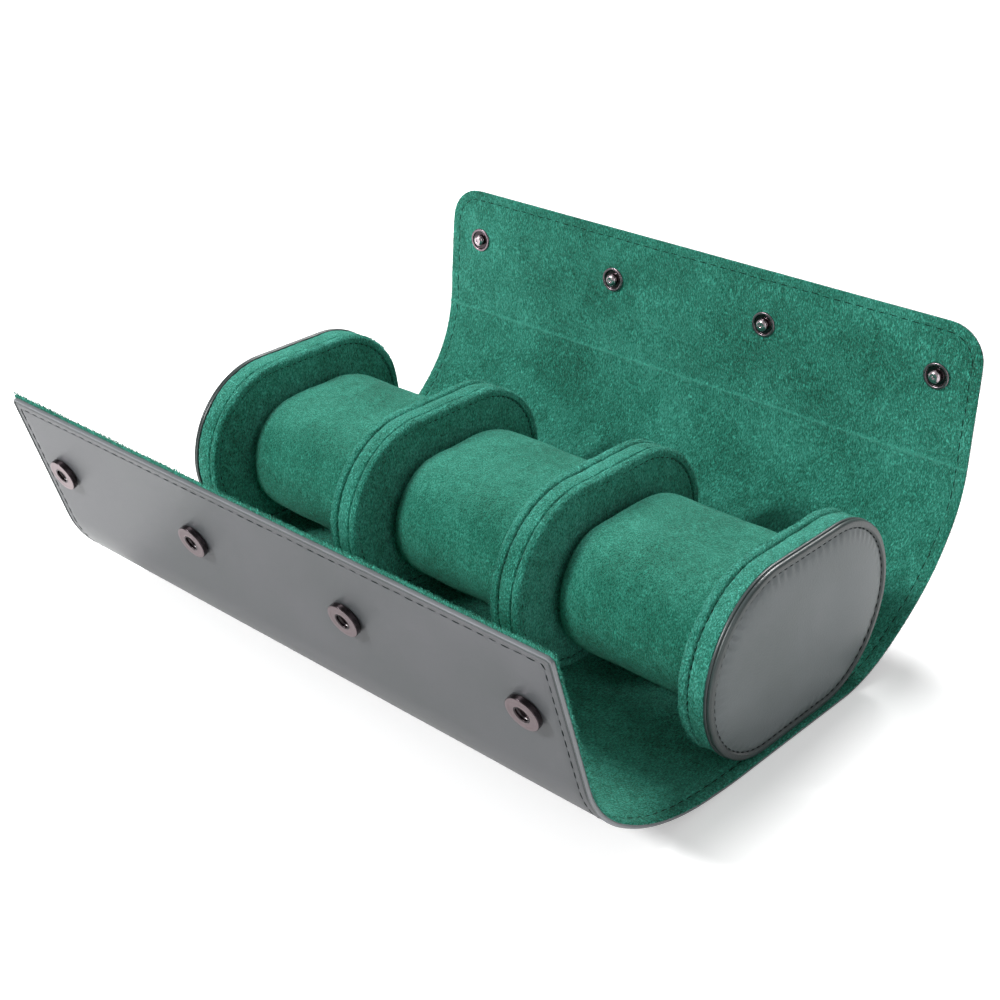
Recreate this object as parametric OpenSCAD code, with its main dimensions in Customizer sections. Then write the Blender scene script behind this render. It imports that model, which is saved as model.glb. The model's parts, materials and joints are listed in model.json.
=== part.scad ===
// Travel case for three watches. A wrap of leather, card and suede rolls closed round a tray of
// two end walls and two dividers, and a soft pillow lifts out of each of the three compartments.
// X runs along the case, Y across it with the front flap towards -Y, and Z points up. The origin
// is the centre of the underside. The case is drawn open, as it lies on a table.

/* [Tray] */
// Length of the wrap, from one end edge to the other
wrap_len = 250; // [220:1:300]
// Size of the end walls and dividers from front to back
tray_depth = 104; // [96:1:120]
// Height of the end walls and dividers
tray_height = 70; // [62:1:80]
// Thickness of an end wall, with its leather face
end_wall_t = 12.5; // [11:0.5:16]
// Thickness of a divider
divider_t = 12.5; // [8:0.5:16]
// How far an end wall stands in from the end edge of the wrap
end_inset = 1; // [0.5:0.1:4]
// Thickness of the suede on the walls
suede_t = 1.4; // [0.8:0.1:2]
// Thickness of the padded leather face of an end wall, without its crown
face_t = 2; // [1.5:0.1:3]
// How far the padded leather face swells in its middle
face_crown = 0.8; // [0.3:0.1:1.5]
// Radius of the fall from its flat middle to its rim
face_fall_r = 30; // [15:1:60]
// Diameter of the rolled leather bead round an end wall
bead_d = 4.4; // [3:0.1:5]
// Diameter of the welt sewn along the seams of the suede walls
welt_d = 1.8; // [1:0.1:2.4]
// How far a welt stands out of the wall
welt_proud = 0.5; // [0.2:0.1:0.8]

/* [Wrap] */
// Thickness of the leather
leather_t = 0.9; // [0.6:0.1:1.4]
// Thickness of the stiff board in the base, the front panel and the lid panel
board_t = 0.7; // [0.4:0.1:1.2]
// Thickness of the suede lining
lining_t = 0.8; // [0.5:0.1:1.4]
// Gap between the tray and the closed wrap
hug_gap = 1.4; // [1.3:0.1:3]
// How far the boards stop short of the edges of the wrap
board_margin = 6; // [3:0.5:12]
// How far the cut edge of the suede stands past the leather on the front edge
suede_proud = 1; // [0.4:0.1:2]
// Corner radius of the front edge
front_corner_r = 2; // [1:0.5:10]
// Corner radius of the lid edge
lid_corner_r = 14; // [6:1:24]
// Turn of each front bend while the case lies open, from the base outwards, in degrees
front_turns = [5, 14, 18, 34];
// Turn of each back bend while the case lies open, from the base outwards, in degrees
back_turns = [24, 13, 22, 28];

/* [Snaps] */
// Number of snap fasteners
snap_count = 4; // [2:1:6]
// Distance of the outer snaps from the end edges of the wrap
snap_end = 16; // [12:0.5:30]
// Distance of the sockets from the front edge
socket_edge = 29; // [16:0.5:34]
// Distance of the studs from the lid edge
stud_edge = 21; // [12:0.5:26]
// Place of the closed snaps across the top of the tray, counted from its middle
snap_shift = -2; // [-6:0.5:6]
// Diameter of a socket
socket_d = 12.5; // [11:0.1:14]
// Height of a socket above the leather
socket_h = 2.2; // [2:0.1:3]
// Diameter of the mouth of a socket
socket_mouth_d = 5.6; // [5.4:0.1:6]
// Wall of a socket
socket_wall = 0.5; // [0.3:0.05:0.6]
// Diameter of the wire of the split ring inside a socket
spring_wire_d = 0.6; // [0.4:0.05:0.7]
// Diameter of the ring of a stud
stud_ring_d = 10; // [9:0.1:11]
// Height of the ring of a stud above the lining
stud_ring_h = 0.8; // [0.6:0.05:1.2]
// Diameter of the ball of a stud
ball_d = 4.4; // [4:0.1:4.6]
// Diameter of the neck between the ring and the ball of a stud
neck_d = 3.4; // [3:0.1:3.8]
// How far the ball stands above the ring of a stud
ball_h = 1.7; // [1.5:0.05:1.8]
// Diameter of the rivet tube through the wrap
tube_d = 3; // [2.4:0.1:3.2]
// Diameter of a rivet head
rivet_d = 10.5; // [8:0.1:12]
// Height of a rivet head
rivet_h = 0.8; // [0.5:0.05:1]

/* [Pillows] */
// Room for a strap in front of a pillow and behind it
strap_room = 13.75; // [8:0.25:18]
// Room under a pillow for a strap
under_room = 6.8; // [5:0.2:10]
// Room above a pillow for a watch, up to the top of the tray
head_room = 10.8; // [8:0.2:16]
// Thickness of the suede cover
cover_t = 1.2; // [0.8:0.1:2]
// How far a pillow swells between its ends
pillow_crown = 1; // [0.4:0.1:2]
// Rounding of the ends, where the cover draws in
pillow_round = 6; // [3:0.5:10]

/* [Fits] */
// Gap between a pillow and the walls that hold it
pillow_gap = 0.3; // [0.2:0.05:0.6]
// Gap between the filling and its cover
fill_gap = 0.1; // [0.05:0.05:0.3]
// Gap between a rivet tube and its hole, all round
tube_gap = 0.1; // [0.05:0.05:0.2]
// Gap between a socket and the ring of its stud when the case is closed
snap_gap = 0.3; // [0.2:0.1:0.6]
// Gap between two neighbouring bends of the wrap
fold_gap = 0.06; // [0.04:0.01:0.1]

/* [Hidden] */
$fn = 48;

// The wrap rolls round an end of the tray in as many equal turns as there are hinge lines
bend_count = len(front_turns);
closed_turn = 180 / (bend_count + 1);

// The tray is a flat stretch between two round ends
tray_r = tray_height / 2;
tray_flat = tray_depth - tray_height;

// Levels in the wrap, as depths below the surface of the lining
wrap_t = leather_t + board_t + lining_t;
board_top = lining_t;
board_bottom = lining_t + board_t;
mid_level = (board_top + board_bottom) / 2;

// Closed, the chords of the bends lie along the sides of a polygon round the tray. The lid side
// goes over the front panel and the snaps, so its steep chords are longer.
bend_chord = 2 * (tray_r + hug_gap) * tan(closed_turn / 2);
snap_stack = socket_h + stud_ring_h + snap_gap;
lid_extra = (wrap_t + snap_stack) / (2 * sin(2 * closed_turn));
front_chords = [bend_chord, bend_chord, bend_chord, bend_chord];
back_chords = [bend_chord, bend_chord + lid_extra, bend_chord + lid_extra, bend_chord];
base_run = (tray_flat + bend_chord) / 2;

// Length of the stiff panels, so that each stud closes into its socket
front_panel_len = base_run + snap_shift + socket_edge;
lid_panel_len = base_run - snap_shift + stud_edge;
snap_pitch = (wrap_len - 2 * snap_end) / (snap_count - 1);
tube_r = tube_d / 2;
tube_hole_r = tube_r + tube_gap;

// Places along the tray
end_outer = wrap_len / 2 - end_inset;
end_inner = end_outer - end_wall_t;
room_len = (2 * end_inner - 2 * divider_t) / 3;
room_pitch = room_len + divider_t;
tray_mid_z = wrap_t + tray_r;

// The pillow and the middle of its section
pillow_depth = tray_depth - 2 * strap_room;
pillow_height = tray_height - under_room - head_room;
pillow_mid_z = wrap_t + under_room + pillow_height / 2;
pillow_len = room_len - 2 * pillow_gap;

// How far a cutter runs past what it cuts
overrun = 1;

leather_colour = [0.22, 0.27, 0.26];
suede_colour = [0.08, 0.45, 0.32];
dark_suede_colour = [0.06, 0.36, 0.25];
board_colour = [0.62, 0.55, 0.42];
foam_colour = [0.85, 0.84, 0.80];
metal_colour = [0.36, 0.33, 0.33];
spring_colour = [0.70, 0.70, 0.72];

BENDS = [1:bend_count];
ENDS = ["left", "right"];
ROOMS = ["left", "middle", "right"];

// Direction of the wrap after the first n bends, and the place it has reached
function heading(turns, n) = n == 0 ? 0 : heading(turns, n - 1) + turns[n - 1];
function chord_heading(turns, i) = heading(turns, i) + turns[i] / 2;
function reach(chords, turns, n) =
    n == 0 ? [0, 0] : reach(chords, turns, n - 1)
        + chords[n - 1] * [cos(chord_heading(turns, n - 1)), sin(chord_heading(turns, n - 1))];

function side_sign(side) = side == "left" ? -1 : 1;
function room_x(room) = room == "left" ? -room_pitch : room == "right" ? room_pitch : 0;
function snap_x(i) = snap_end - wrap_len / 2 + i * snap_pitch;

// Draws in the frame of a point on the wrap: Y along the wrap, away from the base, and Z out of
// the lining. n is the number of bends between the base and that point.
module at_flap(flap, n) {
    chords = flap == "front" ? front_chords : back_chords;
    turns = flap == "front" ? front_turns : back_turns;
    p = reach(chords, turns, n);
    mirror([0, flap == "front" ? 1 : 0, 0])
        translate([0, base_run + p[0], wrap_t + p[1]])
            rotate([heading(turns, n), 0, 0])
                children();
}

// A curved stretch of one layer, between two depths below the lining. It stops half the fold gap
// short of the hinge line at each end.
module bend(chord, turn, top, bottom) {
    r = chord / (2 * sin(turn / 2));
    trim = asin(fold_gap / 2 / r);
    translate([-wrap_len / 2, 0, r])
        rotate([0, 90, 0])
            rotate([0, 0, trim])
                rotate_extrude(angle = turn - 2 * trim)
                    translate([r + top, 0])
                        square([bottom - top, wrap_len]);
}

module bend_node(layer, flap, i) {
    chord = flap == "front" ? front_chords[i - 1] : back_chords[i - 1];
    turn = flap == "front" ? front_turns[i - 1] : back_turns[i - 1];
    at_flap(flap, i - 1)
        if (layer == "leather")
            color(leather_colour) bend(chord, turn, mid_level, wrap_t);
        else
            color(suede_colour) bend(chord, turn, 0, mid_level);
}

// A flat outline thickened between two depths below the lining
module layer(top, bottom) {
    translate([0, 0, -bottom])
        linear_extrude(bottom - top)
            children();
}

module base_outline(margin = 0) {
    square([wrap_len - 2 * margin, 2 * (base_run - margin)], center = true);
}

// The outline of a stiff panel, with its hinge line at Y zero and its two far corners rounded
module panel_outline(length, corner_r, margin = 0) {
    half = wrap_len / 2 - margin;
    far = length - margin;
    r = corner_r - min(margin, corner_r / 2);
    translate([-half, margin])
        square([2 * half, far - r - margin]);
    translate([-half + r, margin])
        square([2 * (half - r), far - margin]);
    for (side = [-1, 1])
        translate([side * (half - r), far - r])
            circle(r);
}

// The holes for the rivet tubes, in a row along the panel
module tube_holes(row) {
    for (i = [0:snap_count - 1])
        translate([snap_x(i), row, -wrap_t - overrun])
            cylinder(r = tube_hole_r, h = wrap_t + 2 * overrun);
}

// The three layers of a stiff stretch. The leather and the lining meet halfway through the board
// and share the pocket that it fills.
module stiff_leather() {
    difference() {
        layer(mid_level, wrap_t) children(0);
        layer(mid_level - overrun, board_bottom) children(1);
    }
}

module stiff_lining() {
    difference() {
        layer(0, mid_level) children(0);
        layer(board_top, mid_level + overrun) children(1);
    }
}

module stiff_board() {
    layer(board_top, board_bottom) children();
}

module base_node(layer_name) {
    translate([0, 0, wrap_t])
        if (layer_name == "leather")
            color(leather_colour) stiff_leather() {
                base_outline();
                base_outline(board_margin);
            }
        else if (layer_name == "lining")
            color(suede_colour) stiff_lining() {
                base_outline();
                base_outline(board_margin);
            }
        else
            color(board_colour) stiff_board() base_outline(board_margin);
}

module panel_node(layer_name, panel) {
    front = panel == "front";
    length = front ? front_panel_len : lid_panel_len;
    corner_r = front ? front_corner_r : lid_corner_r;
    row = length - (front ? socket_edge : stud_edge);
    at_flap(front ? "front" : "back", bend_count)
        difference() {
            if (layer_name == "leather")
                color(leather_colour) stiff_leather() {
                    panel_outline(length, corner_r);
                    panel_outline(length, corner_r, board_margin);
                }
            else if (layer_name == "lining")
                color(suede_colour) stiff_lining() {
                    panel_outline(length + (front ? suede_proud : 0), corner_r);
                    panel_outline(length, corner_r, board_margin);
                }
            else
                color(board_colour) stiff_board() panel_outline(length, corner_r, board_margin);
            tube_holes(row);
        }
}

// A row of fasteners on the outside of the front panel, pointing away from the leather
module socket_row() {
    at_flap("front", bend_count)
        for (i = [0:snap_count - 1])
            translate([snap_x(i), front_panel_len - socket_edge, -wrap_t])
                rotate([180, 0, 0])
                    children();
}

// A row of fasteners on the inside of the lid panel, pointing away from the lining
module stud_row() {
    at_flap("back", bend_count)
        for (i = [0:snap_count - 1])
            translate([snap_x(i), lid_panel_len - stud_edge, 0])
                children();
}

// A pressed cup with a rolled rim and a mouth for the ball, standing on the leather
module snap_socket() {
    r = socket_d / 2;
    rim_r = socket_h / 2;
    rotate_extrude()
        difference() {
            union() {
                square([r - rim_r, socket_h]);
                translate([r - rim_r, rim_r])
                    circle(rim_r);
            }
            translate([-overrun, socket_wall])
                square([r - rim_r + overrun, socket_h - 2 * socket_wall]);
            translate([-overrun, -overrun])
                square([tube_hole_r + overrun, socket_wall + 2 * overrun]);
            translate([-overrun, socket_wall])
                square([socket_mouth_d / 2 + overrun, socket_h]);
        }
}

// A split wire ring that grips the neck of the ball, lying loose under the rim of the socket
module snap_spring() {
    ring_r = (socket_mouth_d + spring_wire_d) / 2 + tube_gap;
    split = 60;
    translate([0, 0, socket_wall + spring_wire_d / 2])
        rotate([0, 0, split / 2])
            rotate_extrude(angle = 360 - split)
                translate([ring_r, 0])
                    circle(d = spring_wire_d);
}

// A rivet head with a domed rim and its tube, which runs up from the head
module rivet(tube_len) {
    r = rivet_d / 2;
    rotate_extrude() {
        square([r - rivet_h, rivet_h]);
        intersection() {
            translate([r - rivet_h, rivet_h])
                circle(rivet_h);
            square([r, rivet_h]);
        }
    }
    cylinder(r = tube_r, h = rivet_h + tube_len);
}

// The rivet from inside the front panel, spread a little over the floor of the socket
module snap_cap() {
    flare_h = socket_wall / 2;
    translate([0, 0, -wrap_t - rivet_h])
        rivet(wrap_t + socket_wall);
    translate([0, 0, socket_wall])
        cylinder(r = tube_r + 3 * tube_gap, h = flare_h);
}

// The ring of a stud, dished round its ball, with a blind hole for the end of the rivet
module snap_stud() {
    r = stud_ring_d / 2;
    rim_r = stud_ring_h / 2;
    dish = stud_ring_h / 2;
    ball_r = ball_d / 2;
    nose_r = ball_h / 2;
    rotate_extrude()
        difference() {
            union() {
                square([r - rim_r, dish]);
                translate([r - rim_r, rim_r])
                    circle(rim_r);
                square([neck_d / 2, stud_ring_h + ball_h - nose_r]);
                translate([0, stud_ring_h])
                    square([ball_r - nose_r, ball_h]);
                translate([ball_r - nose_r, stud_ring_h + nose_r])
                    circle(nose_r);
            }
            translate([-r, -overrun])
                square([r + tube_hole_r, stud_ring_h + overrun]);
            translate([-2 * r, -overrun])
                square([2 * r, 2 * overrun + stud_ring_h + ball_h]);
        }
}

// The rivet from outside the lid, which holds the stud from behind
module snap_post() {
    translate([0, 0, -wrap_t - rivet_h])
        rivet(wrap_t + stud_ring_h - tube_gap);
}

module snap_sockets() {
    color(metal_colour) socket_row() snap_socket();
}

module snap_springs() {
    color(spring_colour) socket_row() snap_spring();
}

module snap_caps() {
    color(metal_colour) socket_row() snap_cap();
}

module snap_studs() {
    color(metal_colour) stud_row() snap_stud();
}

module snap_posts() {
    color(metal_colour) stud_row() snap_post();
}

// The outline of a wall: a flat stretch between two round ends, with a height of its own
module stadium(height) {
    square([tray_flat, height], center = true);
    for (side = [-1, 1])
        translate([side * tray_flat / 2, 0])
            circle(height / 2);
}

// Stands a drawing up across the case, with its Z along X, from a place along the tray
module across(x) {
    translate([x, 0, tray_mid_z])
        rotate([90, 0, 90])
            children();
}

// A wall outline thickened from one place along the tray to another
module wall(from, to, height) {
    across(from)
        linear_extrude(to - from)
            stadium(height);
}

// A roll of leather or a welt that follows the outline of a wall
module roll(x, height, d) {
    across(x) {
        for (side = [-1, 1]) {
            translate([side * tray_flat / 2, 0])
                rotate([0, 0, side * -90])
                    rotate_extrude(angle = 180)
                        translate([height / 2, 0])
                            circle(d = d);
            translate([-tray_flat / 2, side * height / 2])
                rotate([0, 90, 0])
                    cylinder(d = d, h = tray_flat);
        }
    }
}

// The suede band round a wall, with a welt along a seam
module gusset(from, to, seams) {
    difference() {
        wall(from, to, tray_height - 2 * welt_proud);
        wall(from - overrun, to + overrun, tray_height - 2 * welt_proud - 2 * suede_t);
    }
    for (x = seams)
        roll(x, tray_height - welt_d, welt_d);
}

inner_height = tray_height - 2 * welt_proud - 2 * suede_t;
bead_x = end_outer - bead_d / 2;
face_height = tray_height - 2 * bead_d;
face_back = end_outer - face_crown - face_t;
gusset_outer = end_outer - bead_d / 2;
core_outer = face_back;
core_inner = end_inner + suede_t;

module end_side(side) {
    mirror([side == "left" ? 1 : 0, 0, 0])
        children();
}

// The core steps in to the bead, which is glued round its outer edge
module end_core(side) {
    color(board_colour) end_side(side) {
        wall(core_inner, end_outer - bead_d, inner_height);
        wall(core_inner, core_outer, face_height);
    }
}

module end_gusset(side) {
    color(dark_suede_colour) end_side(side)
        difference() {
            gusset(end_inner, gusset_outer, [end_inner + welt_d / 2]);
            roll(bead_x, tray_height - bead_d, bead_d);
        }
}

module end_inner_face(side) {
    color(suede_colour) end_side(side) wall(end_inner, core_inner, inner_height - welt_d);
}

// Half of the section of a padded face: height along Y, falling by the crown towards its rim
module pad_half() {
    r = face_height / 2;
    h = face_t + face_crown;
    fall = sqrt(2 * face_fall_r * face_crown - face_crown * face_crown);
    square([r - fall, h]);
    intersection() {
        translate([r - fall, h - face_fall_r])
            circle(face_fall_r, $fn = 4 * $fn);
        square([r, h]);
    }
}

// The leather face is a pad, flat in its middle and drawn down towards the bead
module end_leather_face(side) {
    color(leather_colour) end_side(side)
        across(face_back) {
            for (end = [-1, 1])
                translate([end * tray_flat / 2, 0])
                    rotate([0, 0, end * 90 - 180])
                        rotate_extrude(angle = 180)
                            pad_half();
            for (end = [0, 1])
                rotate([90, 0, 90])
                    translate([0, 0, -tray_flat / 2])
                        linear_extrude(tray_flat)
                            mirror([end, 0])
                                pad_half();
        }
}

module end_bead(side) {
    color(leather_colour) end_side(side) roll(bead_x, tray_height - bead_d, bead_d);
}

divider_mid = (room_len + divider_t) / 2;
divider_near = divider_mid - divider_t / 2;
divider_far = divider_mid + divider_t / 2;

module divider_core(side) {
    color(board_colour) end_side(side) wall(divider_near + suede_t, divider_far - suede_t, inner_height);
}

module divider_gusset(side) {
    color(dark_suede_colour) end_side(side)
        gusset(divider_near, divider_far, [divider_near + welt_d / 2, divider_far - welt_d / 2]);
}

module divider_faces(side) {
    color(suede_colour) end_side(side) {
        wall(divider_near, divider_near + suede_t, inner_height - welt_d);
        wall(divider_far - suede_t, divider_far, inner_height - welt_d);
    }
}

// Half of the section of a pillow along its axis: radius along X and length along Y. The ends
// are drawn in by a rounding and the side swells between them.
module pillow_half(r, length, round) {
    swell_half = length / 2 - round;
    swell_r = (swell_half * swell_half + pillow_crown * pillow_crown) / (2 * pillow_crown);
    translate([0, -length / 2])
        square([r - round, length]);
    translate([0, round - length / 2])
        square([r, length - 2 * round]);
    for (end = [-1, 1])
        translate([r - round, end * swell_half])
            circle(round);
    intersection() {
        translate([r + pillow_crown - swell_r, 0])
            circle(swell_r, $fn = 4 * $fn);
        translate([0, -swell_half])
            square([r + pillow_crown, 2 * swell_half]);
    }
}

// A pillow body, drawn smaller all round by a margin
module pillow_body(room, margin) {
    r = pillow_height / 2 - pillow_crown - margin;
    length = pillow_len - 2 * margin;
    flat = pillow_depth - pillow_height;
    round = pillow_round - margin;
    translate([room_x(room), 0, pillow_mid_z])
        rotate([90, 0, 90]) {
            for (side = [-1, 1])
                translate([side * flat / 2, 0])
                    rotate([0, 0, side * 90 - 180])
                        rotate_extrude(angle = 180)
                            intersection() {
                                pillow_half(r, length, round);
                                translate([0, -length])
                                    square([pillow_height, 2 * length]);
                            }
            for (side = [-1, 1])
                translate([-flat / 2, 0, 0])
                    rotate([90, 0, 90])
                        linear_extrude(flat)
                            mirror([side < 0 ? 1 : 0, 0])
                                pillow_half(r, length, round);
        }
}

module pillow_cover(room) {
    color(suede_colour)
        difference() {
            pillow_body(room, 0);
            pillow_body(room, cover_t);
        }
}

module pillow_filling(room) {
    color(foam_colour) pillow_body(room, cover_t + fill_gap);
}

base_node("leather");  // leather_base
base_node("board");  // board_base
base_node("lining");  // lining_base
for (layer_name = ["leather", "lining"], flap = ["front", "back"], i = BENDS)
    bend_node(layer_name, flap, i);
for (layer_name = ["leather", "board", "lining"], panel = ["front", "lid"])
    panel_node(layer_name, panel);
snap_sockets();
snap_springs();
snap_caps();
snap_studs();
snap_posts();
for (side = ENDS) {
    end_core(side);
    end_gusset(side);
    end_inner_face(side);
    end_leather_face(side);
    end_bead(side);
    divider_core(side);
    divider_gusset(side);
    divider_faces(side);
}
for (room = ROOMS) {
    pillow_cover(room);
    pillow_filling(room);
}
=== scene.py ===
# %% [markdown]
# # A roll-up travel case for three watches
# The case is one long wrap of leather lined with green suede. It rolls closed round a tray made of
# two end walls and two dividers, and a suede pillow sits in each of the three rooms between them.
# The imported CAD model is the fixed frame, and every piece below is built round it, in metres.

# %% Load the frame
import json
import math
import random

import bmesh
import bpy
from mathutils import Matrix, Vector, noise


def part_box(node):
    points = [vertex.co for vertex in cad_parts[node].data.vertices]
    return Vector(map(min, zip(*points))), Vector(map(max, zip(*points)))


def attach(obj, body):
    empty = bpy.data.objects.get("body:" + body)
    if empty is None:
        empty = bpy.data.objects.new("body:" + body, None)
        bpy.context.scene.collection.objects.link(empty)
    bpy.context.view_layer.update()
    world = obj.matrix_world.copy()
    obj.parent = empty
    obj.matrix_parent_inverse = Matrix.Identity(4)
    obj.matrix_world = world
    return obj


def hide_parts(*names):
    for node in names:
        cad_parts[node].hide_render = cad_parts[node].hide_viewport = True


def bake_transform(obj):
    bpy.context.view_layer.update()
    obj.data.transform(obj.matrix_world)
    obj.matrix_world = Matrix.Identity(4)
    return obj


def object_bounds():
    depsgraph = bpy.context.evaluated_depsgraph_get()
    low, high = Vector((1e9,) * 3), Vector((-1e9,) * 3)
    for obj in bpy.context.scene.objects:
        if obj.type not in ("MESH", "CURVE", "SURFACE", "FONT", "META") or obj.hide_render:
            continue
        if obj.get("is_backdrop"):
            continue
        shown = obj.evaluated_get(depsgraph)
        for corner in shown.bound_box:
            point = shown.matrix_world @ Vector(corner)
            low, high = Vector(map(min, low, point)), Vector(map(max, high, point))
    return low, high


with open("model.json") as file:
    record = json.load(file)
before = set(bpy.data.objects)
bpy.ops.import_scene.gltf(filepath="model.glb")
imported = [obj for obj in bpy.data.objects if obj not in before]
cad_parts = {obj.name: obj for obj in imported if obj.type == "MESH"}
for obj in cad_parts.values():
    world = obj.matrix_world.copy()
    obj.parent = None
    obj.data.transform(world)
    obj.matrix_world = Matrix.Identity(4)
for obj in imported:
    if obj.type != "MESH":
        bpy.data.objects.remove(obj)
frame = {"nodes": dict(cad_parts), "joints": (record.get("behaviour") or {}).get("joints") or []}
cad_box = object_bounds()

scene = bpy.context.scene
dice = random.Random(7)

# %% [markdown]
# ## The sizes
# The wrap is three layers: leather outside, stiff board in the flat parts, and suede inside. Its
# hinge lines lie on the suede side, and the joints of the frame say where. The other sizes repeat
# the ones in the CAD source, so that each soft piece fits the hard one it stands for.

# %% Sizes of the case
MM = 0.001
wrap_half = 125 * MM
leather_outer = 2.4 * MM
board_margin = 6 * MM
socket_edge = 29 * MM
stud_edge = 21 * MM
snap_shift = -2 * MM
snap_x = [(-109 + 218 * i / 3) * MM for i in range(4)]
tray_height = 70 * MM
tray_flat = 34 * MM
tray_radius = tray_height / 2
tray_mid = Vector((0, 0, leather_outer + tray_radius))
end_outer = 124 * MM
end_wall = 12.5 * MM
end_inner = end_outer - end_wall
divider_wall = 12.5 * MM
room_len = (2 * end_inner - 2 * divider_wall) / 3
room_pitch = room_len + divider_wall
print("room", round(room_len / MM, 2), "mm, pitch", round(room_pitch / MM, 2), "mm")

# %% [markdown]
# ## The path of the wrap
# A sheet is easiest to cut, edge and stitch while it lies flat. So each skin of the wrap is made
# flat first, with X along the case, Y along the wrap and Z out of the suede, and then every point
# is laid on the path that the hinge lines give: a flat base, four bends and a flat panel each way.
# Laying it afterwards keeps the thickness true, because a bend only turns points round its centre.

# %% Read the hinge lines
joints = {j["name"]: j for j in frame["joints"]}
FLAPS = {"front": ("front_panel", -1), "back": ("lid_panel", 1)}


def read_path(flap):
    """The hinge points, headings, radii and flat places of one flap."""
    names = [f"{flap}_roll"] + [f"{flap}_follow_{i}" for i in range(1, 5)]
    spots = [Vector((abs(joints[n]["pos_m"][1]), joints[n]["pos_m"][2])) for n in names]
    heads, radii, marks = [0.0], [], [spots[0].x]
    for a, b in zip(spots, spots[1:]):
        step = b - a
        turn = 2 * (math.atan2(step.y, step.x) - heads[-1])
        radii.append(step.length / (2 * math.sin(turn / 2)))
        marks.append(marks[-1] + radii[-1] * turn)
        heads.append(heads[-1] + turn)
    return {"spots": spots, "heads": heads, "radii": radii, "marks": marks}


paths = {flap: read_path(flap) for flap in FLAPS}
base_run = paths["front"]["marks"][0]
panel_len = {
    "front": base_run + snap_shift + socket_edge,
    "back": base_run - snap_shift + stud_edge}
flap_end = {flap: paths[flap]["marks"][-1] + panel_len[flap] for flap in FLAPS}
for flap in FLAPS:
    print(flap, "flap ends", round(flap_end[flap] / MM, 1), "mm from the middle of the base")


# %% Lay a flat point on the path
def lay(point):
    """A point of the flat sheet, moved to its place on the open case."""
    x, along, out = point
    flap = "front" if along < 0 else "back"
    sign = FLAPS[flap][1]
    path, s = paths[flap], abs(along)
    marks = path["marks"]
    if s <= marks[0]:
        return Vector((x, along, leather_outer + out))
    n = min(sum(s > m for m in marks) - 1, len(marks) - 1)
    spot, head = path["spots"][n], path["heads"][n]
    if n < len(path["radii"]):
        radius = path["radii"][n]
        middle = spot + radius * Vector((-math.sin(head), math.cos(head)))
        angle = head + (s - marks[n]) / radius
        found = middle + (radius - out) * Vector((math.sin(angle), -math.cos(angle)))
    else:
        ahead = Vector((math.cos(head), math.sin(head)))
        found = spot + (s - marks[n]) * ahead + out * Vector((-ahead.y, ahead.x))
    return Vector((x, sign * found.x, found.y))


def panel_place(flap):
    """The matrix from a flat point on a stiff panel to its place on the open case."""
    far = paths[flap]["marks"][-1] + 10 * MM
    sign = FLAPS[flap][1]
    origin = lay((0, sign * far, 0))
    ahead = (lay((0, sign * (far + MM), 0)) - origin).normalized()
    out = (lay((0, sign * far, MM)) - origin).normalized()
    turn = Matrix((Vector((1, 0, 0)), ahead, out)).transposed().to_4x4()
    return Matrix.Translation(origin) @ turn @ Matrix.Translation((0, -far, 0))


print("the front edge lies at", [round(c / MM, 1) for c in lay((0, -flap_end["front"], 0))])

# %% [markdown]
# ## The camera
# The photograph was taken from the front right, a little above the case. A camera fitted to the
# corners, snaps and end walls of the CAD model gives the lens, the place and the slight tilt.
# The shift moves the middle of the lens, because the photograph is a crop of a wider one.

# %% Place the camera
focal_px, picture_px = 1771.6, 1000
lens_middle = (403.2, 393.5)
camera_az, camera_el, camera_roll = (math.radians(a) for a in (44.649, 24.177, -0.810))
camera_place = Vector((0.37912, -0.44236, 0.349))
level_back = Vector((math.sin(camera_az), -math.cos(camera_az), 0))
back = level_back * math.cos(camera_el) + Vector((0, 0, math.sin(camera_el)))
right = Vector((0, 0, 1)).cross(back).normalized()
up = back.cross(right)
tilted_right = math.cos(camera_roll) * right + math.sin(camera_roll) * up
tilted_up = -math.sin(camera_roll) * right + math.cos(camera_roll) * up
camera = bpy.data.objects.new("camera", bpy.data.cameras.new("camera"))
scene.collection.objects.link(camera)
facing = Matrix((tilted_right, tilted_up, back)).transposed().to_4x4()
camera.matrix_world = Matrix.Translation(camera_place) @ facing
camera.data.sensor_width = 36
camera.data.lens = 36 * focal_px / picture_px
camera.data.shift_x = 0.5 - lens_middle[0] / picture_px
camera.data.shift_y = lens_middle[1] / picture_px - 0.5
camera.data.clip_start = 0.01
scene.camera = camera
print("lens", round(camera.data.lens, 1), "mm")

# %% [markdown]
# ## Shader maths in Python
# A material is a small network. Written node by node it is hard to read, so one class builds any
# node from its type, settings and inputs, and another wraps an output so that plain + and * add
# the Math nodes. A mix such as tufts * 0.9 + streaks * 0.3 then reads as it would on paper.

# %% Two small helpers for node networks
class Wire:
    """An output of a node, which can be used in sums."""

    def __init__(self, recipe, socket):
        self.recipe, self.socket = recipe, socket

    def maths(self, operation, other, clamp=False):
        settings = {"operation": operation, "use_clamp": clamp}
        return self.recipe.node("Math", settings, {0: self, 1: other})

    def __add__(self, other):
        return self.maths("ADD", other)

    def __mul__(self, other):
        return self.maths("MULTIPLY", other)

    __radd__, __rmul__ = __add__, __mul__

    def clamp(self):
        return self.maths("ADD", 0.0, clamp=True)


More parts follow.
